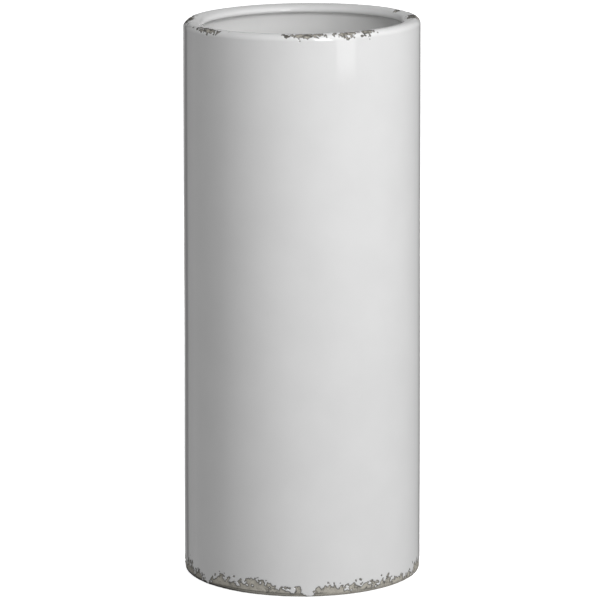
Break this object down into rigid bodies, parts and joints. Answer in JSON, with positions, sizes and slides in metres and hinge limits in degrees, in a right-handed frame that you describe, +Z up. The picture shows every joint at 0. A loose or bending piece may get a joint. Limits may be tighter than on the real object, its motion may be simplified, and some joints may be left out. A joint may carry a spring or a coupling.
{
  "type": "cylinder vase",
  "caption": "Tall round stoneware vase with a thick rounded lip, a glossy white glaze worn away to bare clay at lip and foot, a satin liner and felt feet.",
  "frame": {"origin": "on the vase's axis, on the surface that it stands on", "axes": "+Z up along the axis, from the foot to the mouth; -Y faces the viewer; +X to the viewer's right"},
  "size_m": [0.1956, 0.1956, 0.46],
  "materials": {
    "stoneware": "unglazed, matte and slightly gritty, warm grey",
    "outer_glaze": "glossy neutral white, worn away along the lip and foot",
    "liner_glaze": "satin white",
    "felt": "charcoal wool felt"
  },
  "bodies": {
    "root": {"stoneware_wall": "stoneware", "stoneware_floor": "stoneware", "seam_fillet": "stoneware", "outer_glaze": "outer_glaze", "liner_glaze": "liner_glaze", "felt_pad_1": "felt", "felt_pad_2": "felt", "felt_pad_3": "felt", "felt_pad_4": "felt"}
  },
  "joints": []
}
